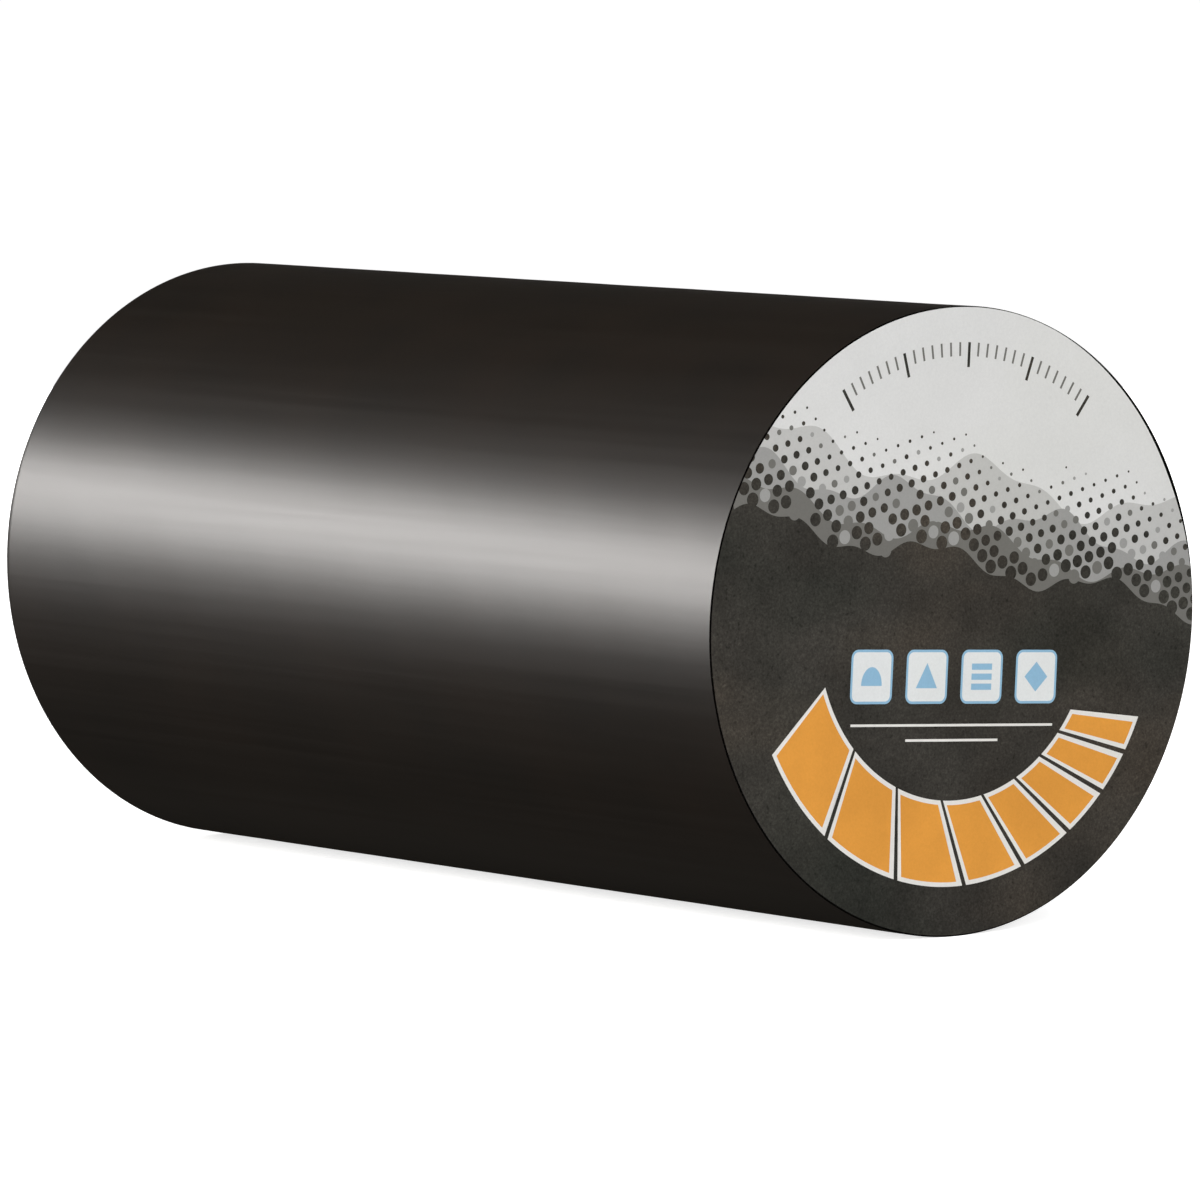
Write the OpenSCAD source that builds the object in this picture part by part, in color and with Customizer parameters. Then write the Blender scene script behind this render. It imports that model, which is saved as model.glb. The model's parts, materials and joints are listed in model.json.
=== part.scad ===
// Roll of self-adhesive bitumen flashing tape, lying on its side, with a
// round paper label stuck over one end.
//
// Frame: millimetres, +Z up, origin on the floor under the middle of the
// roll. The roll's axis runs along Y, the labelled end faces -Y and the
// plain end, with the open bore, faces +Y.

/* [Tape] */
// Width of the tape, which is the length of the roll
tape_w = 300; // [50:5:450]
// Thickness of one turn: film, bitumen and release liner
tape_t = 1.41; // [0.8:0.01:2.5]
// Number of turns wound on the roll
turns = 28; // [6:1:40]
// Diameter of the bore
bore_d = 76; // [40:1:152]

/* [Roll ends] */
// Width of the line between two turns, as seen on an end
line_w = 0.3; // [0.1:0.05:0.5]
// Depth of the line between two turns
line_d = 0.35; // [0.1:0.05:1]
// Rounding of the outer turn's edges
edge_r = 0.5; // [0.2:0.05:0.5]

/* [End label] */
// Thickness of the paper
label_t = 0.3; // [0.1:0.05:0.5]
// Bare rim between the label's edge and the outside of the roll
label_rim = 0.5; // [0.5:0.1:3]

/* [Hidden] */
$fn = 180;

bore_r = bore_d / 2;
roll_r = bore_r + turns * tape_t;
label_r = roll_r - label_rim;
EDGE_STEPS = 4;

// The roll's axis is this high over the floor it lies on.
axis_z = roll_r;

// One end of the winding, from the bore outwards, as [radius, depth]
// points: a flat for each turn's cut edge and a shallow V where two meet.
function end_points() = concat(
    [[bore_r, 0]],
    [for (k = [1 : turns - 1])
        let (r = bore_r + k * tape_t)
        each [[r - line_w / 2, 0], [r, line_d], [r + line_w / 2, 0]]],
    // the outer turn's rounded edge
    [for (i = [0 : EDGE_STEPS])
        let (a = 90 * i / EDGE_STEPS)
        [roll_r - edge_r * (1 - sin(a)), edge_r * (1 - cos(a))]]
);

function reversed(list) = [for (i = [len(list) - 1 : -1 : 0]) list[i]];

// Half section of the wound tape. X is the radius, Y runs along the axis.
function roll_section() = concat(
    [for (p = end_points()) [p[0], p[1] - tape_w / 2]],
    [for (p = reversed(end_points())) [p[0], tape_w / 2 - p[1]]]
);

// Lays something built round Z down on the floor, with Z turned to +Y.
module laid_down() {
    translate([0, 0, axis_z]) rotate([-90, 0, 0]) children();
}

// The tape: one strip wound on itself, so one turned solid with its bore.
module tape_roll() {
    color([0.09, 0.08, 0.075])
        laid_down()
            rotate_extrude() polygon(roll_section());
}

// The round paper label that covers one end and closes the bore there.
module end_label() {
    color([0.24, 0.23, 0.22])
        laid_down()
            translate([0, 0, -tape_w / 2 - label_t])
                cylinder(r = label_r, h = label_t);
}

tape_roll();
end_label();
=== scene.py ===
import json
import math

import bmesh
import bpy
import numpy as np
from mathutils import Matrix, Vector
from mathutils.geometry import delaunay_2d_cdt


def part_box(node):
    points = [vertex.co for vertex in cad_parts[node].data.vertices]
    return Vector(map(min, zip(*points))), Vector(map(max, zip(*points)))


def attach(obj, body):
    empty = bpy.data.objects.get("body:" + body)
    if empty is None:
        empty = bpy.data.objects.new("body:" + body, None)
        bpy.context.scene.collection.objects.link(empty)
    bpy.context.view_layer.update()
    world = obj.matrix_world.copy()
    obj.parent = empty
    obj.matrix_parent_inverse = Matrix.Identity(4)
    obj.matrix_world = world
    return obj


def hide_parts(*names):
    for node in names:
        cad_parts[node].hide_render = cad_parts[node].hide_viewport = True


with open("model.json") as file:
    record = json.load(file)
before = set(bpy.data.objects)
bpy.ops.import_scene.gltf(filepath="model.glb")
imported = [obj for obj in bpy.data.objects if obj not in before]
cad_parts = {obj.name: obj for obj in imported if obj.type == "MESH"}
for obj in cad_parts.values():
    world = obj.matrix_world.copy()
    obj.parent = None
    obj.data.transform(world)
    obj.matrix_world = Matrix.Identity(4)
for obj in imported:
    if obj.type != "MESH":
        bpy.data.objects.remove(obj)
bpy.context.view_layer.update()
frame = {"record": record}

scene = bpy.context.scene
scene.view_settings.view_transform = "Standard"
scene.view_settings.look = "None"

# ---------------------------------------------------------------- sizes
roll_lo, roll_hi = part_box("tape_roll")
label_lo, label_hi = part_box("end_label")
BORE = next(m for m in frame["record"]["mounts"] if m["name"] == "core_bore")

HALF_W = (roll_hi.y - roll_lo.y) / 2           # half the tape's width
R_OUT = (roll_hi.x - roll_lo.x) / 2            # outside of the roll
R_IN = BORE["dims"]["r_mm"] / 1000             # bore
AXIS_Z = R_OUT                                 # the roll lies on the floor
TURNS = 28
T = (R_OUT - R_IN) / TURNS                     # one turn of tape
R_LABEL = (label_hi.x - label_lo.x) / 2
LABEL_T = label_hi.y - label_lo.y
MM = 0.001


# ---------------------------------------------------------------- small helpers
def waves(x, seed, count, longest, shortest, closed=None):
    """A smooth wandering line, about -1 to 1: a sum of sines with fixed phases.
    With closed, every wave fits a whole number of times into that length."""
    rng = np.random.default_rng(seed)
    x = np.asarray(x, float)
    total, weight = np.zeros_like(x), 0.0
    for k in range(count):
        share = k / max(count - 1, 1)
        length = longest * (shortest / longest) ** share * rng.uniform(0.85, 1.15)
        if closed:
            length = closed / max(1, round(closed / length))
        amount = (length / longest) ** 0.6
        total += amount * np.sin(2 * np.pi * x / length + rng.uniform(0, 2 * np.pi))
        weight += amount
    return total / weight * 1.6


def smooth_step(x):
    x = np.clip(x, 0.0, 1.0)
    return x * x * (3 - 2 * x)


class Patch:
    """A rectangle of a texture map, in which a surface is laid out by two shares from 0 to 1."""
    def __init__(self, u0, v0, u1, v1):
        self.u0, self.v0, self.u1, self.v1 = u0, v0, u1, v1

    def at(self, s, t):
        return self.u0 + (self.u1 - self.u0) * s, self.v0 + (self.v1 - self.v0) * t

    def quad(self, s0, s1, t0, t1):
        return [self.at(s0, t0), self.at(s1, t0), self.at(s1, t1), self.at(s0, t1)]


def add_map(me, name, corners):
    """A texture map from a list of places for each face."""
    layer = me.uv_layers.new(name=name)
    layer.data.foreach_set("uv", np.array([c for face in corners for c in face], np.float32).ravel())


def new_object(name, verts, faces, materials, slots, smooth=True):
    me = bpy.data.meshes.new(name)
    me.from_pydata([tuple(map(float, v)) for v in verts], [], faces)
    for m in materials:
        me.materials.append(m)
    me.polygons.foreach_set("material_index", np.asarray(slots, np.int32))
    me.polygons.foreach_set("use_smooth", np.full(len(me.polygons), smooth))
    me.update()
    ob = bpy.data.objects.new(name, me)
    scene.collection.objects.link(ob)
    return ob


# ---------------------------------------------------------------- node helpers
def material(name):
    m = bpy.data.materials.new(name)
    m.use_nodes = True
    tree = m.node_tree
    tree.nodes.clear()
    out = tree.nodes.new("ShaderNodeOutputMaterial")
    bsdf = tree.nodes.new("ShaderNodeBsdfPrincipled")
    tree.links.new(bsdf.outputs["BSDF"], out.inputs["Surface"])
    return m, tree, bsdf


def node(tree, kind, **values):
    n = tree.nodes.new(kind)
    for key, value in values.items():
        if key in n.inputs:
            n.inputs[key].default_value = value
        else:
            setattr(n, key, value)
    return n


def link(tree, a, b):
    tree.links.new(a, b)


def noise(tree, vector, scale, detail=2.0, rough=0.5, kind="FBM"):
    n = node(tree, "ShaderNodeTexNoise")
    n.noise_dimensions = "3D"
    n.inputs["Scale"].default_value = scale
    n.inputs["Detail"].default_value = detail
    n.inputs["Roughness"].default_value = rough
    link(tree, vector, n.inputs["Vector"])
    return n.outputs["Fac"]


def stretched(tree, source, scale):
    n = node(tree, "ShaderNodeMapping")
    n.inputs["Scale"].default_value = scale
    link(tree, source, n.inputs["Vector"])
    return n.outputs["Vector"]


def ranged(tree, value, lo, hi, to_lo, to_hi):
    n = node(tree, "ShaderNodeMapRange")
    n.inputs["From Min"].default_value = lo
    n.inputs["From Max"].default_value = hi
    n.inputs["To Min"].default_value = to_lo
    n.inputs["To Max"].default_value = to_hi
    link(tree, value, n.inputs["Value"])
    return n.outputs["Result"]


def mixed(tree, factor, a, b, how="MIX"):
    """a and b are colours or sockets."""
    n = node(tree, "ShaderNodeMix")
    n.data_type = "RGBA"
    n.blend_type = how
    n.clamp_factor = True
    if isinstance(factor, float):
        n.inputs[0].default_value = factor
    else:
        link(tree, factor, n.inputs[0])
    for socket, value in ((n.inputs[6], a), (n.inputs[7], b)):
        if isinstance(value, tuple):
            socket.default_value = (*value, 1.0)
        else:
            link(tree, value, socket)
    return n.outputs[2]


def math_node(tree, how, a, b=None):
    n = node(tree, "ShaderNodeMath")
    n.operation = how
    for socket, value in zip(n.inputs, (a, b)):
        if value is None:
            continue
        if isinstance(value, (int, float)):
            socket.default_value = value
        else:
            link(tree, value, socket)
    return n.outputs[0]


def bump(tree, height, distance, strength=1.0, normal=None):
    n = node(tree, "ShaderNodeBump")
    n.inputs["Strength"].default_value = strength
    n.inputs["Distance"].default_value = distance
    link(tree, height, n.inputs["Height"])
    if normal is not None:
        link(tree, normal, n.inputs["Normal"])
    return n.outputs["Normal"]


def srgb(r, g, b):
    def one(c):
        c /= 255
        return c / 12.92 if c <= 0.04045 else ((c + 0.055) / 1.055) ** 2.4
    return one(r), one(g), one(b)


# ---------------------------------------------------------------- film, bitumen, liner
FILM_DARK, FILM_WARM, FILM_STREAK = (0.0074, 0.0053, 0.0036), (0.0110, 0.0071, 0.0045), (0.0140, 0.0102, 0.0070)
FILM_ROUGH, FILM_IOR, FILM_LEVEL = 0.376, 2.32, 0.49


def film_material():
    """Black-brown satin film over foil: faint streaks along the roll, a fine pebble and a little scuffing."""
    m, tree, p = material("tape_film_satin")
    uv = node(tree, "ShaderNodeUVMap", uv_map="Wrap").outputs["UV"]
    streaks = noise(tree, stretched(tree, uv, (420.0, 5.0, 1.0)), 1.0, 4.0, 0.6)
    broad = noise(tree, stretched(tree, uv, (16.0, 3.2, 1.0)), 1.0, 3.0, 0.5)
    cloud = noise(tree, stretched(tree, uv, (30.0, 22.0, 1.0)), 1.0, 4.0, 0.55)
    pebble = noise(tree, stretched(tree, uv, (1500.0, 900.0, 1.0)), 1.0, 2.0, 0.5)
    fine = noise(tree, stretched(tree, uv, (1150.0, 13.0, 1.0)), 1.0, 3.0, 0.6)
    warm = mixed(tree, ranged(tree, cloud, 0.35, 0.68, 0.0, 1.0), FILM_DARK, FILM_WARM)
    colour = mixed(tree, ranged(tree, streaks, 0.40, 0.72, 0.0, 0.35), warm, FILM_STREAK)
    link(tree, colour, p.inputs["Base Color"])
    rough = math_node(tree, "ADD",
                      ranged(tree, broad, 0.3, 0.7, FILM_ROUGH - 0.010, FILM_ROUGH + 0.010),
                      ranged(tree, streaks, 0.3, 0.7, -0.012, 0.018))
    link(tree, rough, p.inputs["Roughness"])
    p.inputs["IOR"].default_value = FILM_IOR
    p.inputs["Specular IOR Level"].default_value = FILM_LEVEL
    n1 = bump(tree, pebble, 0.0000040)
    n2 = bump(tree, streaks, 0.000010, normal=n1)
    n3 = bump(tree, broad, 0.00010, normal=n2)
    link(tree, bump(tree, fine, 0.000007, normal=n3), p.inputs["Normal"])
    return m


def bitumen_material():
    """The cut edge of the bitumen: almost black, soft, slightly dragged by the knife."""
    m, tree, p = material("bitumen_cut_edge")
    at = node(tree, "ShaderNodeTexCoord").outputs["Object"]
    grain = noise(tree, at, 900.0, 4.0, 0.6)
    patch = noise(tree, at, 70.0, 3.0, 0.5)
    colour = mixed(tree, ranged(tree, grain, 0.35, 0.70, 0.0, 1.0),
                   (0.0075, 0.0068, 0.0060), (0.0230, 0.0205, 0.0180))
    colour = mixed(tree, ranged(tree, patch, 0.45, 0.75, 0.0, 0.5), colour, (0.032, 0.0280, 0.0240))
    link(tree, colour, p.inputs["Base Color"])
    link(tree, ranged(tree, patch, 0.3, 0.7, 0.44, 0.62), p.inputs["Roughness"])
    p.inputs["Specular IOR Level"].default_value = 0.22
    link(tree, bump(tree, grain, 0.00008), p.inputs["Normal"])
    return m


def rim_painted_shade_material():
    """The last turn where it shows as a thin line round the label: matt bitumen, painted far darker than the other
    bitumen as painted shade for the shadow gap at the label's edge.
    """
    m, tree, p = material("bitumen_rim_painted_shade")
    at = node(tree, "ShaderNodeTexCoord").outputs["Object"]
    grain = noise(tree, at, 700.0, 3.0, 0.6)
    # painted shade: the base colour is kept near black, darker than the bitumen elsewhere
    link(tree, mixed(tree, ranged(tree, grain, 0.35, 0.70, 0.0, 1.0), (0.0010, 0.0009, 0.0008), (0.0030, 0.0027, 0.0024)), p.inputs["Base Color"])
    link(tree, ranged(tree, grain, 0.3, 0.7, 0.80, 0.95), p.inputs["Roughness"])
    p.inputs["Specular IOR Level"].default_value = 0.03
    link(tree, bump(tree, grain, 0.00006), p.inputs["Normal"])
    return m


def liner_material():
    """The thin edge of the release liner between two turns."""
    m, tree, p = material("liner_edge")
    at = node(tree, "ShaderNodeTexCoord").outputs["Object"]
    worn = noise(tree, at, 240.0, 4.0, 0.6)
    colour = mixed(tree, ranged(tree, worn, 0.35, 0.65, 0.0, 1.0),
                   (0.115, 0.104, 0.090), (0.300, 0.275, 0.240))
    link(tree, colour, p.inputs["Base Color"])
    link(tree, ranged(tree, worn, 0.3, 0.7, 0.42, 0.60), p.inputs["Roughness"])
    p.inputs["Specular IOR Level"].default_value = 0.4
    return m


def bore_material():
    """Inside of the first turn: liner drawn tight, with faint streaks along the bore."""
    m, tree, p = material("bore_liner")
    uv = node(tree, "ShaderNodeUVMap", uv_map="Wrap").outputs["UV"]
    streaks = noise(tree, stretched(tree, uv, (300.0, 8.0, 1.0)), 1.0, 3.0, 0.6)
    spots = noise(tree, stretched(tree, uv, (90.0, 60.0, 1.0)), 1.0, 4.0, 0.6)
    colour = mixed(tree, ranged(tree, spots, 0.35, 0.7, 0.0, 1.0),
                   (0.070, 0.0635, 0.0550), (0.100, 0.0905, 0.0790))
    colour = mixed(tree, ranged(tree, streaks, 0.42, 0.70, 0.0, 0.5), colour, (0.135, 0.1230, 0.1080))
    link(tree, colour, p.inputs["Base Color"])
    link(tree, ranged(tree, streaks, 0.3, 0.7, 0.34, 0.46), p.inputs["Roughness"])
    p.inputs["Specular IOR Level"].default_value = 0.45
    n1 = bump(tree, streaks, 0.00004)
    link(tree, bump(tree, spots, 0.00006, normal=n1), p.inputs["Normal"])
    return m


# ---------------------------------------------------------------- the wound tape
STEPS = 240                     # steps round the roll
SEAM = math.radians(-19)        # where a turn hands over to the next one
CLIMB = math.radians(54)        # over this angle each turn climbs onto the next
I_TAIL = STEPS - round(CLIMB * 0.29 / (2 * math.pi) * STEPS)   # the free end of the tape, pressed thin

theta = np.arange(STEPS) * 2 * np.pi / STEPS


def climb(th):
    return smooth_step((th - (2 * np.pi - CLIMB)) / CLIMB)


def boundary(b, th):
    """Radius of the line under turn b, at angle th past the seam. The outside stays round."""
    if b == TURNS:
        return np.full_like(np.asarray(th, float), R_OUT)
    return R_IN + T * (b + climb(th))


def squeezed(th):
    """How far the step at the tail is squeezed full on the labelled end: 1 from the tail on."""
    return smooth_step((np.asarray(th, float) - theta[I_TAIL - 9]) / (theta[I_TAIL] - theta[I_TAIL - 9]))


def rim_boundary(b, th):
    """The same line on the labelled end. There the step at the tail is squeezed full, so the rim is round."""
    r = boundary(b, th)
    if b != TURNS - 1:
        return r
    return r + (R_OUT - 0.04 * MM - r) * squeezed(th)


RIM_DEPTH = 0.06 * MM           # the last edge of the labelled end is pressed nearly flush


def around(r, th, y):
    phi = SEAM + th
    return np.stack([r * np.cos(phi), np.broadcast_to(y, np.shape(r * phi)), AXIS_Z + r * np.sin(phi)], -1)


def end_profile(points, end, drift):
    """Grid of vertices for one end: [step, turn, point]. A point is (share of the turn's thickness, depth)."""
    grid = np.zeros((STEPS, TURNS, len(points), 3))
    for b in range(TURNS):
        line = boundary if end > 0 else rim_boundary
        inner, outer = line(b, theta), line(b + 1, theta)
        along = b + theta / (2 * np.pi)
        back = drift * (0.5 - 0.5 * waves(along, 11, 7, 6.1, 0.13))
        for j, (share, depth) in enumerate(points):
            r = inner + (outer - inner) * share
            if end < 0 and b == TURNS - 1 and j == 0:
                depth = depth + (RIM_DEPTH - depth) * squeezed(theta)
            wander = 0.02 * MM * waves(along * 17.3 + j, 23 + j, 3, 5.0, 0.7)
            grid[:, b, j] = around(r + wander * (j > 0), theta, end * (HALF_W - depth - np.clip(back, 0, drift)))
    return grid


def make_roll():
    # the plain end, as it shows: gap, liner edge, shoulder, flat of bitumen, shoulder
    plain = [(0.0, 0.44 * MM), (0.035, 0.17 * MM), (0.165, 0.14 * MM), (0.20, 0.045 * MM), (0.36, 0.0), (0.74, 0.02 * MM), (0.92, 0.12 * MM)]
    # the other end lies under the label
    under = [(0.0, 0.42 * MM), (0.20, 0.03 * MM), (0.80, 0.05 * MM)]
    # where each point of the plain end's profile lies in its turn on the map: the thin liner line gets more room
    spread = [0.0, 0.10, 0.30, 0.38, 0.52, 0.76, 0.92, 1.0]
    FILM_MAP, PLAIN_MAP = Patch(0.0008, 0.4620, 0.9992, 0.9992), Patch(0.0008, 159 / 1024, 0.9992, (159 + 11 * TURNS) / 1024)
    BORE_MAP, UNDER_MAP = Patch(0.0008, 0.0008, 0.6200, 0.1440), Patch(0.6300, 0.0008, 0.9992, 0.1440)
    TAIL_MAP, START_MAP = Patch(0.0008, 0.1470, 0.4900, 0.1520), Patch(0.5100, 0.1470, 0.9992, 0.1520)
    verts, faces, slots, uvs, maps = [], [], [], [], []
    FILM, BITUMEN, LINER, INSIDE, RIM = range(5)

    def add(points):
        first = len(verts)
        verts.extend(points)
        return first

    def face(ids, slot, where, uv=None):
        faces.append(ids)
        slots.append(slot)
        maps.append(where)
        uvs.append(uv)

    ends = {}
    for end, points, drift in ((1, plain, 0.32 * MM), (-1, under, 0.0)):
        grid = end_profile(points, end, drift)
        n = len(points)
        first = add(grid.reshape(-1, 3))
        top = {}   # the outermost line: over turn 27 before the tail, and over turn 26 after it
        y_out = end * (HALF_W - (points[0][1] if end > 0 else RIM_DEPTH))
        last = add(around(boundary(TURNS, theta[: I_TAIL + 1]), theta[: I_TAIL + 1], y_out))

        def vid(i, b, j, first=first, n=n, last=last):
            if i == STEPS:
                i, b = 0, b + 1
            if j == n:
                b, j = b + 1, 0
            if b == TURNS:
                return last + i
            return first + (i * TURNS + b) * n + j

        for i in range(STEPS):
            for b in range(TURNS):
                if b == TURNS - 1 and i >= I_TAIL:
                    continue
                for j in range(n):
                    ids = (vid(i, b, j), vid(i + 1, b, j), vid(i + 1, b, j + 1), vid(i, b, j + 1))
                    if end > 0:
                        where = PLAIN_MAP.quad(i / STEPS, (i + 1) / STEPS, (b + spread[j]) / TURNS, (b + spread[j + 1]) / TURNS)
                        face(ids, LINER if j == 1 else BITUMEN, where)
                    else:
                        where = UNDER_MAP.quad(i / STEPS, (i + 1) / STEPS, (b + j / n) / TURNS, (b + (j + 1) / n) / TURNS)
                        # the last two turns of the labelled end take the rim material, whose near-black colour is
                        # painted shade
                        face(ids[::-1], RIM if b > TURNS - 3 else BITUMEN, where[::-1])
        ends[end] = (vid, n)

    def lengthwise(count, at_end):
        """Places along the axis for a long surface, closer together near both ends."""
        s = np.linspace(-1, 1, count + 1)
        s = np.sign(s) * (1 - (1 - np.abs(s)) ** 1.25)
        return s[1:-1] * at_end

    vid_p, n_p = ends[1]
    vid_m, n_m = ends[-1]

    # outside: follows the tape from just under the tail, over the seam, to the tail
    ys = lengthwise(84, HALF_W - 0.44 * MM)
    steps = list(range(I_TAIL, STEPS)) + list(range(STEPS, STEPS + I_TAIL + 1))
    lines = []
    for k in steps:
        under_tail = k < STEPS
        i = k if under_tail else k - STEPS
        th = theta[i]
        b = TURNS - 1 if under_tail else TURNS
        phi = SEAM + th
        along = (th - 2 * np.pi) if under_tail else th
        swell = (0.035 * MM * waves(ys * 1000 + 40 * math.sin(phi), 3, 4, 170, 45)
                 + 0.030 * MM * waves(np.full_like(ys, along * 77), 5, 4, 150, 35)
                 + 0.012 * MM * waves(ys * 1000 + along * 60, 7, 3, 60, 22))
        fade = smooth_step((HALF_W - np.abs(ys)) / (14 * MM))
        # the cut is not quite straight, and its edge stands up a hair
        near_cut = smooth_step(1 - abs(k - (STEPS + I_TAIL)) / 6) + smooth_step(1 - (k - I_TAIL) / 6)
        ths = th + 0.55 * MM / R_OUT * waves(ys * 1000, 61, 5, 190, 14) * near_cut * fade
        near_tail = smooth_step(1 - abs(k - (STEPS + I_TAIL)) / 3)
        lift = 0.13 * MM * near_tail * (0.6 + 0.4 * waves(ys * 1000, 31, 4, 120, 30))
        r = boundary(b, ths) + swell * fade + lift * fade
        if under_tail:
            full = smooth_step(1 - (ys + HALF_W) / (7 * MM))
            r = r + (rim_boundary(b, th) - r) * full
        r = np.minimum(r, R_OUT + 0.02 * MM) if math.sin(phi) < -0.9 else r
        mid = add(around(r, ths, ys))
        j_m = vid_m(i, b, 0) if b < TURNS else vid_m(i, TURNS - 1, n_m)
        j_p = vid_p(i, b, 0) if b < TURNS else vid_p(i, TURNS - 1, n_p)
        lines.append(([j_m, *range(mid, mid + len(ys)), j_p], along))
    full_y = [-HALF_W, *ys, HALF_W]
    share_y = [0.5 + y / (2 * HALF_W) for y in full_y]
    for k, ((a, ua), (c, uc)) in enumerate(zip(lines, lines[1:])):
        for q in range(len(a) - 1):
            uv = [(ua * R_OUT, full_y[q]), (uc * R_OUT, full_y[q]), (uc * R_OUT, full_y[q + 1]), (ua * R_OUT, full_y[q + 1])]
            where = FILM_MAP.quad(k / STEPS, (k + 1) / STEPS, share_y[q], share_y[q + 1])
            face((a[q], c[q], c[q + 1], a[q + 1])[::-1], FILM, where[::-1], uv[::-1])

    # the cut face of the tail, from the turn below up to the film
    outer_line, inner_line = lines[-1][0], lines[0][0]

    def cut_face(low, high, patch, points_m, points_p, flip, slot):
        """Closes a radial cut between two lengthwise lines whose ends run through the given end points."""
        rows = [low]
        between = max(len(points_m), len(points_p))
        long, tall = len(low) - 1, between + 1
        for s in range(1, between + 1):
            f = s / (between + 1)
            row = []
            for q in range(1, len(low) - 1):
                a, c = verts[low[q]], verts[high[q]]
                row.append(a + (c - a) * f)
            first = add(row)
            rows.append([None, *range(first, first + len(row)), None])
        rows.append(high)
        for s, (lo_row, hi_row) in enumerate(zip(rows, rows[1:])):
            for q in range(1, len(low) - 2):
                ids = (lo_row[q], lo_row[q + 1], hi_row[q + 1], hi_row[q])
                where = patch.quad(q / long, (q + 1) / long, s / tall, (s + 1) / tall)
                face(ids if flip else ids[::-1], slot, where if flip else where[::-1])
        # triangles that join the rows to the end points, from the low line up
        for q, points in ((1, points_m), (len(low) - 2, points_p)):
            e = 0 if q == 1 else len(low) - 1
            count = len(points) + 1
            near = [(rows[s][q], patch.at(q / long, s / tall)) for s in range(tall + 1)]
            far = [(v, patch.at(e / long, j / count)) for j, v in enumerate((low[e], *points, high[e]))]
            i = j = 0
            while i < tall or j < count:
                if j == count or (i < tall and (i + 1) * count <= (j + 1) * tall):
                    corners = [near[i], near[i + 1], far[j]]
                    i += 1
                else:
                    corners = [near[i], far[j + 1], far[j]]
                    j += 1
                if (q == 1) != flip:
                    corners.reverse()
                face(tuple(v for v, _ in corners), slot, [at for _, at in corners])

    i = I_TAIL
    cut_face(inner_line, outer_line, TAIL_MAP,
             [vid_m(i, TURNS - 1, j) for j in range(1, n_m)],
             [vid_p(i, TURNS - 1, j) for j in range(1, n_p)], False, BITUMEN)

    # the bore: from the start of the tape round to where the second turn climbs over it
    ys = lengthwise(20, HALF_W - 0.44 * MM)
    lines = []
    for i in range(STEPS + 1):
        th = 2 * np.pi * i / STEPS
        ripple = 0.05 * MM * waves(ys * 1000 + 30 * math.sin(th), 41, 4, 160, 40) * smooth_step((HALF_W - np.abs(ys)) / (14 * MM))
        r = boundary(0, th) + np.abs(ripple)
        mid = add(around(r, np.full_like(r, th), ys))
        lines.append(([vid_m(i, 0, 0), *range(mid, mid + len(ys)), vid_p(i, 0, 0)], th))
    full_y = [-HALF_W, *ys, HALF_W]
    share_y = [0.5 + y / (2 * HALF_W) for y in full_y]
    for k, ((a, ua), (c, uc)) in enumerate(zip(lines, lines[1:])):
        for q in range(len(a) - 1):
            uv = [(ua * R_IN, full_y[q]), (uc * R_IN, full_y[q]), (uc * R_IN, full_y[q + 1]), (ua * R_IN, full_y[q + 1])]
            # the map runs along the bore, so its two shares change places
            lay = BORE_MAP.quad(share_y[q], share_y[q + 1], k / STEPS, (k + 1) / STEPS)
            face((a[q], c[q], c[q + 1], a[q + 1]), INSIDE, [lay[0], lay[3], lay[2], lay[1]], uv)
    cut_face(lines[0][0], lines[-1][0], START_MAP,
             [vid_m(0, 0, j) for j in range(1, n_m)],
             [vid_p(0, 0, j) for j in range(1, n_p)], True, BITUMEN)

    used = sorted({i for f in faces for i in f})
    place = {v: k for k, v in enumerate(used)}
    verts = [verts[v] for v in used]
    faces = [tuple(place[v] for v in f) for f in faces]
    mats = [film_material(), bitumen_material(), liner_material(), bore_material(), rim_painted_shade_material()]
    ob = new_object("wound_tape", verts, faces, mats, slots)
    layer = ob.data.uv_layers.new(name="Wrap")
    flat = np.zeros((len(ob.data.loops), 2), np.float32)
    for poly, uv in zip(ob.data.polygons, uvs):
        for k, loop in enumerate(poly.loop_indices):
            if uv is not None:
                flat[loop] = uv[k]
            else:
                co = ob.data.vertices[ob.data.loops[loop].vertex_index].co
                flat[loop] = (co.x, co.z)
    layer.data.foreach_set("uv", flat.ravel())
    add_map(ob.data, "OFBake", maps)
    # creases at the tail, at the start and round the groove bottoms stay sharp
    bm = bmesh.new()
    bm.from_mesh(ob.data)
    for e in bm.edges:
        if len(e.link_faces) == 2 and e.calc_face_angle(0) > math.radians(58):
            e.smooth = False
    open_edges = sum(1 for e in bm.edges if len(e.link_faces) != 2)
    print("ROLL", len(bm.verts), "verts", sum(len(f.verts) - 2 for f in bm.faces), "triangles", open_edges, "open edges")
    bm.to_mesh(ob.data)
    bm.free()
    return ob


# ---------------------------------------------------------------- the label
INKS = {
    "field": srgb(216.4, 216.8, 215.6),
    "charcoal": srgb(55, 53, 49),
    "pale": srgb(190, 190, 188),
    "mid": srgb(154, 154, 152),
    "deep": srgb(112, 111, 107),
    "orange": srgb(224, 154, 66),
    "line": srgb(228, 226, 222),
    "blue": srgb(143.5, 185, 213),
    "cool": srgb(225.5, 228.5, 229),
}
INK_NAMES = list(INKS)
TILT = math.radians(3.15)       # the print is turned a little on the roll


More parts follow.
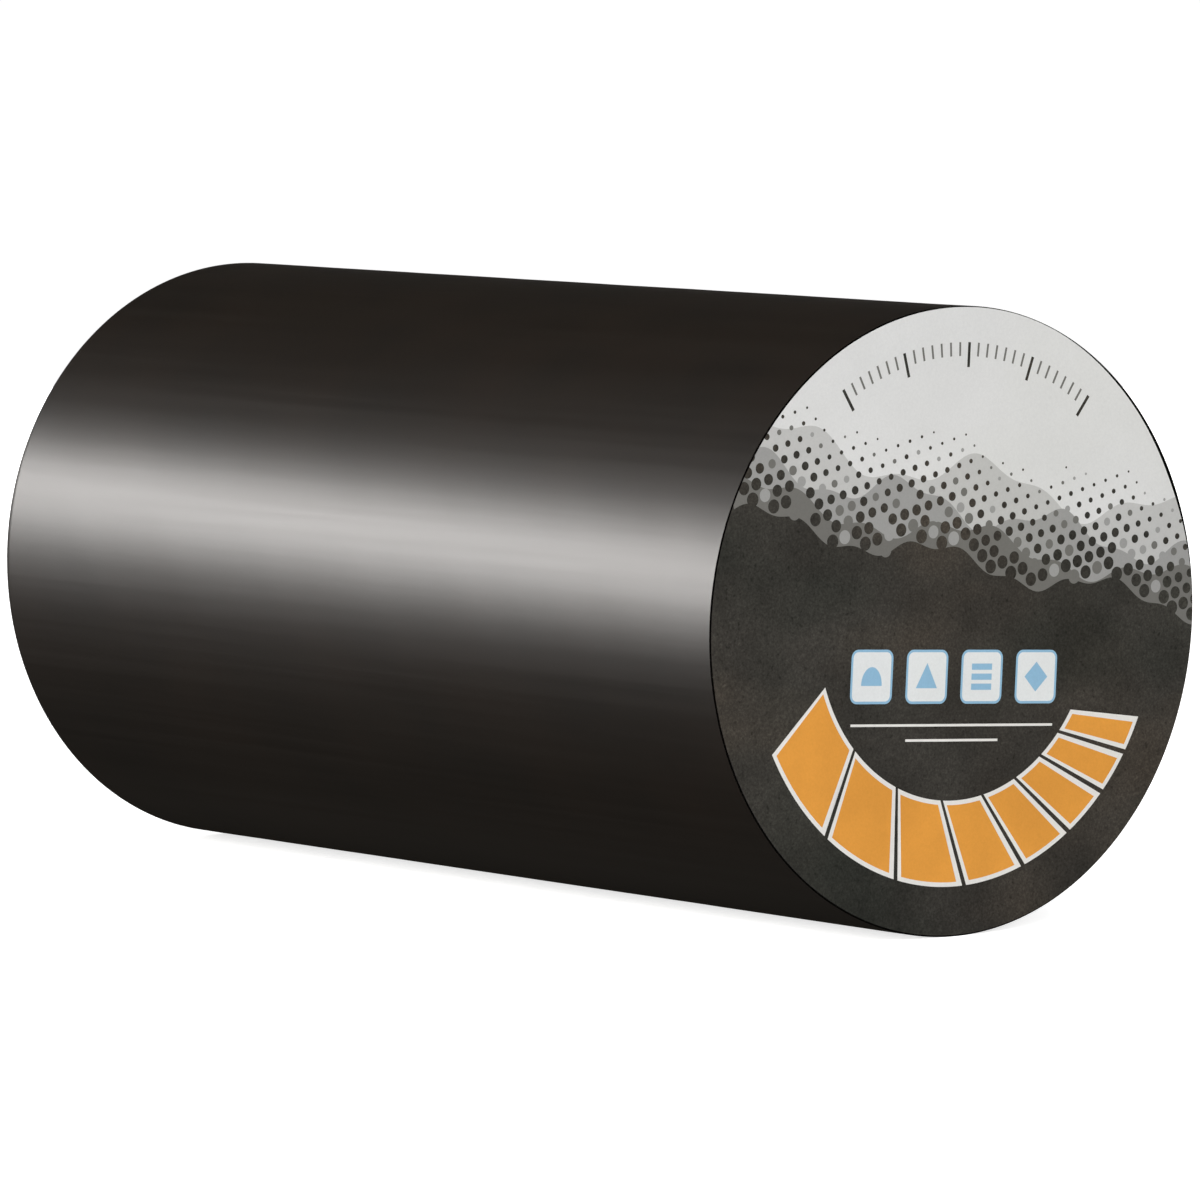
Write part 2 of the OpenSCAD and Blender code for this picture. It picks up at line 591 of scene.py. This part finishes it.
def paper_material(name, colour, shine=0.16):
    """Uncoated paper with one flat ink: fibre, a slow unevenness of the ink, and speckle. Dark inks also get painted
    sheen in leaning bands and painted shade towards the lower rim.
    """
    m, tree, p = material("paper_" + name)
    at = node(tree, "ShaderNodeTexCoord").outputs["Object"]
    dark = sum(colour) / 3 < 0.1
    fibre = noise(tree, at, 1700.0, 3.0, 0.65)
    cloud = noise(tree, at, 46.0, 4.0, 0.55)
    slow = noise(tree, at, 15.0, 2.0, 0.5)
    speck = noise(tree, at, 780.0, 2.0, 0.5)
    spread = 0.17 if dark else (0.055 if name == "orange" else 0.018)
    low = tuple(c * (1 - spread) for c in colour)
    high = tuple(min(1.0, c * (1 + spread)) for c in colour)
    c1 = mixed(tree, ranged(tree, cloud, 0.36, 0.64, 0.0, 1.0), low, high)

    def shaded(source, lo, hi, most, by):
        """Scales the colour by a factor where the pattern goes from lo to hi."""
        return mixed(tree, ranged(tree, source, lo, hi, 0.0, most), c1, by, "MULTIPLY")

    c1 = shaded(slow, 0.48, 0.34, 0.6, (0.980, 0.984, 0.992))
    if dark:
        # a thick ink on slack paper: leaning bands, lighter and browner on their crests and darker between, partly
        # rubbed ink and partly painted sheen; and painted shade that darkens the ink towards the lower rim
        turned = node(tree, "ShaderNodeMapping")
        turned.inputs["Rotation"].default_value = (0.0, math.radians(-24), 0.0)
        turned.inputs["Scale"].default_value = (15.0, 15.0, 33.0)
        link(tree, at, turned.inputs["Vector"])
        rub_and_sheen = noise(tree, turned.outputs["Vector"], 1.0, 2.5, 0.5)
        c1 = shaded(rub_and_sheen, 0.50, 0.70, 0.9, (1.52, 1.38, 1.27))
        c1 = shaded(rub_and_sheen, 0.47, 0.32, 0.9, (0.73, 0.79, 0.78))
        c1 = shaded(slow, 0.50, 0.66, 0.7, (1.12, 1.04, 0.98))
        c1 = shaded(slow, 0.48, 0.34, 0.7, (0.92, 0.98, 0.95))
        # painted shade: the dark ink is darkened towards the lower rim, as if lit from above
        height = node(tree, "ShaderNodeSeparateXYZ")
        link(tree, at, height.inputs[0])
        c1 = shaded(height.outputs["Z"], 0.040, 0.008, 0.62, (0.66, 0.67, 0.68))
        c1 = shaded(fibre, 0.50, 0.72, 0.60, (1.9, 1.9, 1.9))
        c1 = shaded(fibre, 0.50, 0.28, 0.60, (0.40, 0.40, 0.40))
        c1 = shaded(speck, 0.64, 0.76, 0.30, (2.1, 2.1, 2.1))
        c1 = shaded(speck, 0.40, 0.26, 0.70, (0.40, 0.40, 0.40))
    else:
        c1 = shaded(slow, 0.50, 0.64, 0.8, (1.0, 1.003, 0.988))
        c1 = shaded(speck, 0.64, 0.78, 0.20, (0.84, 0.84, 0.84))
        c1 = shaded(fibre, 0.30, 0.70, 0.06, (0.0, 0.0, 0.0))
    link(tree, c1, p.inputs["Base Color"])
    link(tree, ranged(tree, fibre, 0.3, 0.7, 0.62, 0.74), p.inputs["Roughness"])
    p.inputs["Specular IOR Level"].default_value = shine
    n1 = bump(tree, fibre, 0.000006)
    link(tree, bump(tree, cloud, 0.00008, normal=n1), p.inputs["Normal"])
    return m


def wave_line(u, base, tilt, parts):
    v = base + tilt * u
    for size, length, phase in parts:
        v += size * math.sin(2 * math.pi * (u + phase) / length)
    return v


def band_polygon(fn, low=-90.0, half=78.0, step=1.0):
    n = round(2 * half / step)
    us = [-half + 2 * half * k / n for k in range(n + 1)]
    return [(-half, low), (half, low)] + [(u, fn(u)) for u in reversed(us)]


def disc_polygon(cu, cv, r, n):
    return [(cu + r * math.cos(2 * math.pi * k / n), cv + r * math.sin(2 * math.pi * k / n)) for k in range(n)]


def arc_block(r0, r1, a0, a1, twist):
    """A block of a ring between two radii; its sides lean by the twist from the inner to the outer arc."""
    n = max(3, math.ceil((a1 - a0) / math.radians(1.5)))
    inner = [(r0 * math.cos(a0 + (a1 - a0) * k / n), r0 * math.sin(a0 + (a1 - a0) * k / n)) for k in range(n + 1)]
    outer = [(r1 * math.cos(a0 + twist + (a1 - a0) * k / n), r1 * math.sin(a0 + twist + (a1 - a0) * k / n)) for k in range(n + 1)]
    return inner[::-1] + outer


def grown_block(r0, r1, a0, a1, twist, k):
    """The same block, larger by k all round."""
    rm = (r0 + r1) / 2
    lean = math.atan2(twist * rm, r1 - r0)
    side = k / math.cos(lean) / rm
    more = twist * k / (r1 - r0)
    return arc_block(r0 - k, r1 + k, a0 - side - more, a1 + side - more, twist + 2 * more)


def tile_polygon(cu, cv, half, corner, n=7):
    """A square with round corners."""
    out = []
    for q, (sx, sy) in enumerate(((1, 1), (-1, 1), (-1, -1), (1, -1))):
        for k in range(n + 1):
            a = math.pi / 2 * (q + k / n)
            out.append((cu + sx * (half - corner) + corner * math.cos(a), cv + sy * (half - corner) + corner * math.sin(a)))
    return out


def placed(points, cu, cv, turn=0.0):
    c, s = math.cos(turn), math.sin(turn)
    return [(cu + x * c - y * s, cv + x * s + y * c) for x, y in points]


LABEL_SPAN = 0.487              # radius of the print on its texture map
DOT = R_LABEL / MM / (LABEL_SPAN * 512)   # the print's straight parts keep to a grid of this size, in millimetres


def label_print():
    """Everything printed on the label, lowest first: (ink, polygon in millimetres)."""
    shapes = []
    slope = -0.15
    hills = [
        ("pale", lambda u: wave_line(u, 36.0, slope * 0.9, ((4.6, 62, 8), (1.7, 24, 3)))),
        ("mid", lambda u: wave_line(u, 28.0, slope, ((3.8, 49, 30), (1.4, 19, 9)))),
        ("deep", lambda u: wave_line(u, 21.0, slope, ((3.2, 68, 12), (1.5, 21, 15)))),
    ]
    edge = lambda u: wave_line(u, 15.0, slope, ((2.8, 55, 20), (1.1, 17, 4)))
    for ink, fn in hills:
        shapes.append((ink, band_polygon(fn)))
    shapes.append(("charcoal", band_polygon(edge)))
    # a screen of dots that thins out upwards
    pitch, turn = 3.9, math.radians(17)
    rng = np.random.default_rng(2)
    for a in range(-40, 41):
        for c in range(-40, 41):
            x, y = (a + 0.5 * (c % 2)) * pitch, c * pitch * math.sqrt(3) / 2
            u = x * math.cos(turn) - y * math.sin(turn)
            v = x * math.sin(turn) + y * math.cos(turn)
            pick = rng.random()
            h = v - edge(u)
            if h < 0.6 or h > 33 or math.hypot(u, v) > 79:
                continue
            r = pitch * 0.475 * (1 - h / 35.0) ** 1.15
            if r < 0.28:
                continue
            ink = "charcoal" if pick < 0.74 else ("deep" if pick < 0.9 else "mid")
            shapes.append((ink, disc_polygon(u, v, r, 22 if r > 1.0 else 14)))
    # a ring of leaning blocks along the lower rim, wide to narrow, each with a pale outline
    at, gap = math.radians(203), math.radians(3.6)
    for width in (21, 18.5, 16, 13.5, 11, 9, 7, 5.5):
        w = math.radians(width)
        block = (45.0, 64.0, at, at + w, math.radians(7.5))
        shapes.append(("line", grown_block(*block, 1.1)))
        shapes.append(("orange", arc_block(*block)))
        at += w + gap
    # four small tiles in a row, each with a plain figure
    figures = [
        [[(-3.3, -2.2), *[(3.3 * math.cos(math.pi * (1 - k / 18)), -2.2 + 4.6 * math.sin(math.pi * (1 - k / 18))) for k in range(1, 18)], (3.3, -2.2)]],
        [[(-3.4, -2.8), (3.4, -2.8), (0.0, 3.4)]],
        [[(-10.5 * DOT, a * DOT), (10.5 * DOT, a * DOT), (10.5 * DOT, (a + 5) * DOT), (-10.5 * DOT, (a + 5) * DOT)] for a in (-10.5, -2.5, 5.5)],
        [[(0.0, -3.7), (3.7, 0.0), (0.0, 3.7), (-3.7, 0.0)]],
    ]
    for k, figure in enumerate(figures):
        cu, cv = (-85.5 + 57 * k) * DOT, -43.5 * DOT
        shapes.append(("blue", tile_polygon(cu, cv, 21.5 * DOT, 2.1)))
        shapes.append(("cool", tile_polygon(cu, cv, 19.5 * DOT, 1.5)))
        for part in figure:
            shapes.append(("blue", placed(part, cu, cv)))
    # two thin rules under them
    for half, v, thick in ((105, -83, 2), (48, -95, 2)):
        shapes.append(("line", [(x * DOT, y * DOT) for x, y in ((-half, v), (half, v), (half, v + thick), (-half, v + thick))]))
    # a scale of plain ticks along the upper rim
    for k in range(-14, 15):
        a = math.radians(90 - 2.5 * k)
        long = k % 7 == 0
        r0, half = (62.5 if long else 65.2), (0.42 if long else 0.30)
        bar = placed([(r0, -half), (68.6, -half), (68.6, half), (r0, half)], 0, 0, a)
        shapes.append(("charcoal" if long else "deep", bar))
    return shapes


def rim_gap(a):
    """How much of the roll's end stays bare outside the label, in millimetres: the paper isn't laid on quite true."""
    def near(centre, wide):
        off = (a - math.radians(centre) + math.pi) % (2 * math.pi) - math.pi
        return math.exp(-(off / math.radians(wide)) ** 2)
    more = 0.75 * near(25, 14) + 0.33 * near(46, 12) + 0.05 * near(255, 40)
    return 0.37 + more - 0.14 * near(76, 18) - 0.15 * near(-32, 34)


def make_label():
    radius = R_LABEL / MM
    shapes = label_print()
    points, polys = [], []

    def add_polygon(poly):
        turn = sum(p[0] * q[1] - q[0] * p[1] for p, q in zip(poly, poly[1:] + poly[:1]))
        if turn < 0:   # the triangulation wants every outline counter-clockwise
            poly = poly[::-1]
        first = len(points)
        points.extend(Vector(p) for p in poly)
        polys.append(list(range(first, first + len(poly))))

    RIM = 288
    outline = []
    for k in range(RIM):
        a = 2 * math.pi * k / RIM
        r = R_OUT / MM - rim_gap(a - TILT)
        outline.append((r * math.cos(a), r * math.sin(a)))
    add_polygon(outline)
    for ink, poly in shapes:
        add_polygon(poly)
    inks = ["field"] + [ink for ink, poly in shapes]
    # loose points, so the paper can undulate
    step = 2.6
    for a in range(-35, 36):
        for c in range(-40, 41):
            x, y = (a + 0.5 * (c % 2)) * step, c * step * 0.866
            if math.hypot(x, y) < radius - 1.2:
                points.append(Vector((x, y)))
    out_v, _, out_f, _, _, owners = delaunay_2d_cdt(points, [], polys, 0, 1e-5, True)
    # the bands of the print run past the rim: only what lies on the disc, the first polygon, is kept
    kept = [(f, max(who)) for f, who in zip(out_f, owners) if 0 in who]
    used = sorted({i for f, _ in kept for i in f})
    place = {v: k for k, v in enumerate(used)}
    out_v = [out_v[v] for v in used]
    ca, sa = math.cos(TILT), math.sin(TILT)
    co = np.array([(p.x, p.y) for p in out_v]) * MM
    x = co[:, 0] * ca + co[:, 1] * sa
    z = -co[:, 0] * sa + co[:, 1] * ca
    rr = np.hypot(x, z)
    ang = np.arctan2(z, x)
    # the paper is a little slack: it dips over the bore and lifts a hair at the rim in places
    soft = (0.030 * MM * waves(x * 1000 + z * 320, 51, 4, 120, 34) + 0.026 * MM * waves(z * 1000 - x * 250, 53, 4, 95, 28))
    dip = 0.05 * MM * smooth_step(1 - rr / (R_IN * 0.98)) - 0.025 * MM * np.exp(-((rr - R_IN) / (1.2 * MM)) ** 2)
    lift = 0.05 * MM * smooth_step((rr - R_LABEL + 5 * MM) / (5 * MM)) * np.clip(waves(ang * 10, 57, 4, 24, 7, closed=20 * math.pi), 0, 1)
    front_y = label_lo.y + 0.10 * MM + dip + np.clip(soft, -0.05 * MM, 0.05 * MM) - lift
    verts = [Vector((a, b, AXIS_Z + c)) for a, b, c in zip(x, front_y, z)]
    faces, slots = [], []
    front = len(kept)
    for f, top in kept:
        # seen from the front the triangles run counter-clockwise, so their normals face -Y
        faces.append(tuple(place[v] for v in f))
        slots.append(INK_NAMES.index(inks[top]))
    # the paper's cut edge and its back
    edge_of = {}
    for f in faces:
        for a, b in zip(f, f[1:] + f[:1]):
            edge_of[(a, b)] = edge_of.get((a, b), 0) + 1
    border = {a: b for a, b in edge_of if (b, a) not in edge_of}
    start = next(iter(border))
    ring, at = [start], border[start]
    while at != start:
        ring.append(at)
        at = border[at]
    back_y = label_hi.y
    EDGE, BACK = len(INK_NAMES), len(INK_NAMES) + 1
    back = []
    for v in ring:
        p = verts[v]
        verts.append(Vector((p.x, back_y, p.z)))
        back.append(len(verts) - 1)
    n = len(ring)
    for k in range(n):
        faces.append((ring[(k + 1) % n], ring[k], back[k], back[(k + 1) % n]))
        slots.append(EDGE)
    rings = [back]
    for share in (0.75, 0.5, 0.25):
        inner = []
        for v in back[:: 1]:
            p = verts[v]
            verts.append(Vector((p.x * share, back_y, AXIS_Z + (p.z - AXIS_Z) * share)))
            inner.append(len(verts) - 1)
        rings.append(inner)
    for outer, inner in zip(rings, rings[1:]):
        for k in range(n):
            faces.append((outer[(k + 1) % n], outer[k], inner[k], inner[(k + 1) % n]))
            slots.append(BACK)
    verts.append(Vector((0, back_y, AXIS_Z)))
    for k in range(n):
        faces.append((rings[-1][(k + 1) % n], rings[-1][k], len(verts) - 1))
        slots.append(BACK)
    mats = [paper_material(name, colour) for name, colour in INKS.items()]
    # the paper's cut edge is painted near black: painted shade for the shadow gap round the label's rim
    mats.append(paper_material("cut_edge", (0.0022, 0.0020, 0.0018), 0.02))
    mats.append(paper_material("back", srgb(214, 208, 196)))
    ob = new_object("printed_label", verts, faces, mats, slots)

    def on_map(v, cu, cv, r, flip=1):
        p = verts[v]
        return cu + flip * r * p.x / R_LABEL, cv + r * (p.z - AXIS_Z) / R_LABEL

    # the print fills the map, straight and not tilted; the back and the cut edge lie small in two of its corners
    behind = set(back)
    maps = []
    for k, f in enumerate(faces):
        if k < front:
            maps.append([tuple(0.5 + LABEL_SPAN * co[v] / R_LABEL) for v in f])
        elif slots[k] == EDGE:
            maps.append([on_map(v, 0.914, 0.914, 0.055 if v in behind else 0.080) for v in f])
        else:
            maps.append([on_map(v, 0.086, 0.086, 0.080, -1) for v in f])
    add_map(ob.data, "OFBake", maps)
    bm = bmesh.new()
    bm.from_mesh(ob.data)
    for e in bm.edges:
        if len(e.link_faces) == 2 and e.calc_face_angle(0) > math.radians(40):
            e.smooth = False
    open_edges = sum(1 for e in bm.edges if len(e.link_faces) != 2)
    print("LABEL", len(bm.verts), "verts", sum(len(f.verts) - 2 for f in bm.faces), "triangles", open_edges, "open edges")
    bm.to_mesh(ob.data)
    bm.free()
    return ob


roll = make_roll()
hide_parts("tape_roll")
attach(roll, "root")

label = make_label()
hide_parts("end_label")
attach(label, "root")


# ---------------------------------------------------------------- floor, light, camera
def make_stage():
    m, tree, p = material("floor_white")
    at = node(tree, "ShaderNodeTexCoord").outputs["Object"]
    faint = noise(tree, at, 3.0, 3.0, 0.5)
    link(tree, mixed(tree, ranged(tree, faint, 0.3, 0.7, 0.0, 1.0), (0.86, 0.86, 0.86), (0.90, 0.90, 0.90)), p.inputs["Base Color"])
    p.inputs["Roughness"].default_value = 0.9
    p.inputs["Specular IOR Level"].default_value = 0.0
    p.inputs["Emission Color"].default_value = (1, 1, 1, 1)
    far = node(tree, "ShaderNodeVectorMath", operation="LENGTH")
    link(tree, at, far.inputs[0])
    link(tree, ranged(tree, far.outputs["Value"], 0.7, 1.6, 0.74, 1.05), p.inputs["Emission Strength"])
    n, rings = 96, (0.0, 0.3, 0.8, 1.5, 2.2)
    verts, faces = [(0, 0, 0)], []
    for r in rings[1:]:
        verts += [(r * math.cos(2 * math.pi * k / n), r * math.sin(2 * math.pi * k / n), 0) for k in range(n)]
    for k in range(n):
        faces.append((0, 1 + k, 1 + (k + 1) % n))
    for q in range(len(rings) - 2):
        a, c = 1 + q * n, 1 + (q + 1) * n
        for k in range(n):
            faces.append((a + k, c + k, c + (k + 1) % n, a + (k + 1) % n))
    floor = new_object("floor", verts, faces, [m], [0] * len(faces), smooth=False)
    floor.visible_glossy = False
    floor.visible_diffuse = False

    world = bpy.data.worlds.new("studio")
    scene.world = world
    world.use_nodes = True
    tree = world.node_tree
    tree.nodes.clear()
    out = tree.nodes.new("ShaderNodeOutputWorld")
    path = node(tree, "ShaderNodeLightPath")
    way = node(tree, "ShaderNodeTexCoord").outputs["Generated"]

    def glow(direction, inner, outer, strength):
        """A soft round panel in the given direction: full inside one angle, gone past the other."""
        n = node(tree, "ShaderNodeVectorMath", operation="DOT_PRODUCT")
        link(tree, way, n.inputs[0])
        n.inputs[1].default_value = Vector(direction).normalized()
        r = ranged(tree, n.outputs["Value"], math.cos(math.radians(outer)), math.cos(math.radians(inner)), 0.0, strength)
        r.node.interpolation_type = "SMOOTHSTEP"
        return r

    # what the film mirrors besides the strips: a dim room, a little floor, a weak glow low on the right and a panel above it
    def background(strength, colour=(1, 1, 1)):
        back = node(tree, "ShaderNodeBackground")
        back.inputs["Color"].default_value = (*colour, 1)
        if isinstance(strength, float):
            back.inputs["Strength"].default_value = strength
        else:
            link(tree, strength, back.inputs["Strength"])
        return back.outputs[0]

    low = None
    for direction, inner, outer, strength in GLOWS:
        one = glow(direction, inner, outer, strength)
        low = one if low is None else math_node(tree, "ADD", low, one)
    low = math_node(tree, "ADD", low, WORLD_GLOSS)
    both = node(tree, "ShaderNodeAddShader")
    link(tree, background(low, (1.0, 0.86, 0.70)), both.inputs[0])
    link(tree, background(glow(*PANEL), (1.0, 0.965, 0.93)), both.inputs[1])

    # the white backdrop is only seen; the room beyond the lights is dim, and darker still in gloss
    shade = background(WORLD_FILL)
    for socket, other in (("Is Glossy Ray", both.outputs[0]), ("Is Camera Ray", background(1.02))):
        mix = node(tree, "ShaderNodeMixShader")
        link(tree, path.outputs[socket], mix.inputs[0])
        link(tree, shade, mix.inputs[1])
        link(tree, other, mix.inputs[2])
        shade = mix.outputs[0]
    link(tree, shade, out.inputs["Surface"])


def softbox(name, place, target, width, height, power, colour=(1, 1, 1), gloss=True, diffuse=True):
    data = bpy.data.lights.new(name, "AREA")
    data.shape = "RECTANGLE"
    data.size, data.size_y = width, height
    data.energy = power
    data.color = colour
    ob = bpy.data.objects.new(name, data)
    scene.collection.objects.link(ob)
    ob.location = place
    aim = Vector(target) - Vector(place)
    ob.rotation_euler = aim.to_track_quat("-Z", "Y").to_euler()
    ob.visible_camera = False
    ob.visible_glossy = gloss
    ob.visible_diffuse = diffuse
    return ob


def strip(name, x, z, y0, y1, height, radiance, rise=0.0, colour=(1, 1, 1)):
    """A long strip light beside the roll, facing its axis. Over its length it rises by the given slope."""
    data = bpy.data.lights.new(name, "AREA")
    data.shape = "RECTANGLE"
    data.size, data.size_y = (y1 - y0) * math.hypot(1, rise), height
    data.energy = radiance * math.pi * data.size * data.size_y
    data.color = colour
    ob = bpy.data.objects.new(name, data)
    scene.collection.objects.link(ob)
    aim = Vector((-x, 0, AXIS_Z - z)).normalized()
    along = Vector((0, 1, rise)).normalized()
    along = (along - aim * along.dot(aim)).normalized()
    up = (-aim).cross(along)
    ob.matrix_world = Matrix((
        (along.x, up.x, -aim.x, x),
        (along.y, up.y, -aim.y, (y0 + y1) / 2),
        (along.z, up.z, -aim.z, z + rise * ((y0 + y1) / 2 - 1.475)),
        (0, 0, 0, 1)))
    ob.visible_camera = False
    return ob


WORLD_FILL, WORLD_GLOSS = 0.17, 0.005
GLOWS = (((-0.35, 0.30, -0.90), 30, 75, 0.011), ((0.45, 0.60, -0.66), 6, 34, 0.02), ((0.80, -0.35, -0.50), 12, 38, 0.5))
PANEL = ((0.84, 0.10, 0.42), 4, 24, 3.6)
STRIP_Z, STRIP_H, STRIP_L, STRIP_RISE = 0.456, 0.405, 7.25, 0.435
KEY_W, TOP_W, RIGHT_W, BACK_W = 45.0, 9.0, 16.0, 32.0
make_stage()
strip("strip_far", -1.10, STRIP_Z, 0.76, 2.40, STRIP_H, STRIP_L, STRIP_RISE, (1.0, 0.975, 0.952))
strip("strip_near", -1.10, STRIP_Z, -2.20, 0.20, STRIP_H, STRIP_L, 0.0, (1.0, 0.975, 0.952))
softbox("key_front", (-0.9, -2.4, 1.5), (0, -0.15, 0.08), 1.6, 1.6, KEY_W, gloss=False)
softbox("top", (0.1, -0.3, 2.4), (0, 0, 0), 2.2, 2.2, TOP_W, gloss=False)
softbox("fill_right", (2.2, -1.2, 1.0), (0, 0, 0.08), 1.4, 1.4, RIGHT_W, gloss=False)
softbox("fill_back", (0.3, 2.6, 1.1), (0, 0.15, 0.08), 1.4, 1.4, BACK_W, gloss=False)

AZ, EL = math.radians(-37.95), math.radians(4.76)
right = Vector((math.cos(AZ), math.sin(AZ), 0))
forward = Vector((-math.sin(AZ) * math.cos(EL), math.cos(AZ) * math.cos(EL), -math.sin(EL)))
up = right.cross(forward)
front_centre = Vector((0, -HALF_W, AXIS_Z))
cam_data = bpy.data.cameras.new("camera")
cam_data.lens = 261.46
cam_data.sensor_width = 36.0
cam = bpy.data.objects.new("camera", cam_data)
scene.collection.objects.link(cam)
where = front_centre - R_OUT * (1.1265 * right - 0.0696 * up + 27.5487 * forward)
cam.matrix_world = Matrix((
    (right.x, up.x, -forward.x, where.x),
    (right.y, up.y, -forward.y, where.y),
    (right.z, up.z, -forward.z, where.z),
    (0, 0, 0, 1)))
cam_data.clip_start, cam_data.clip_end = 0.05, 200
scene.camera = cam

bpy.context.view_layer.update()
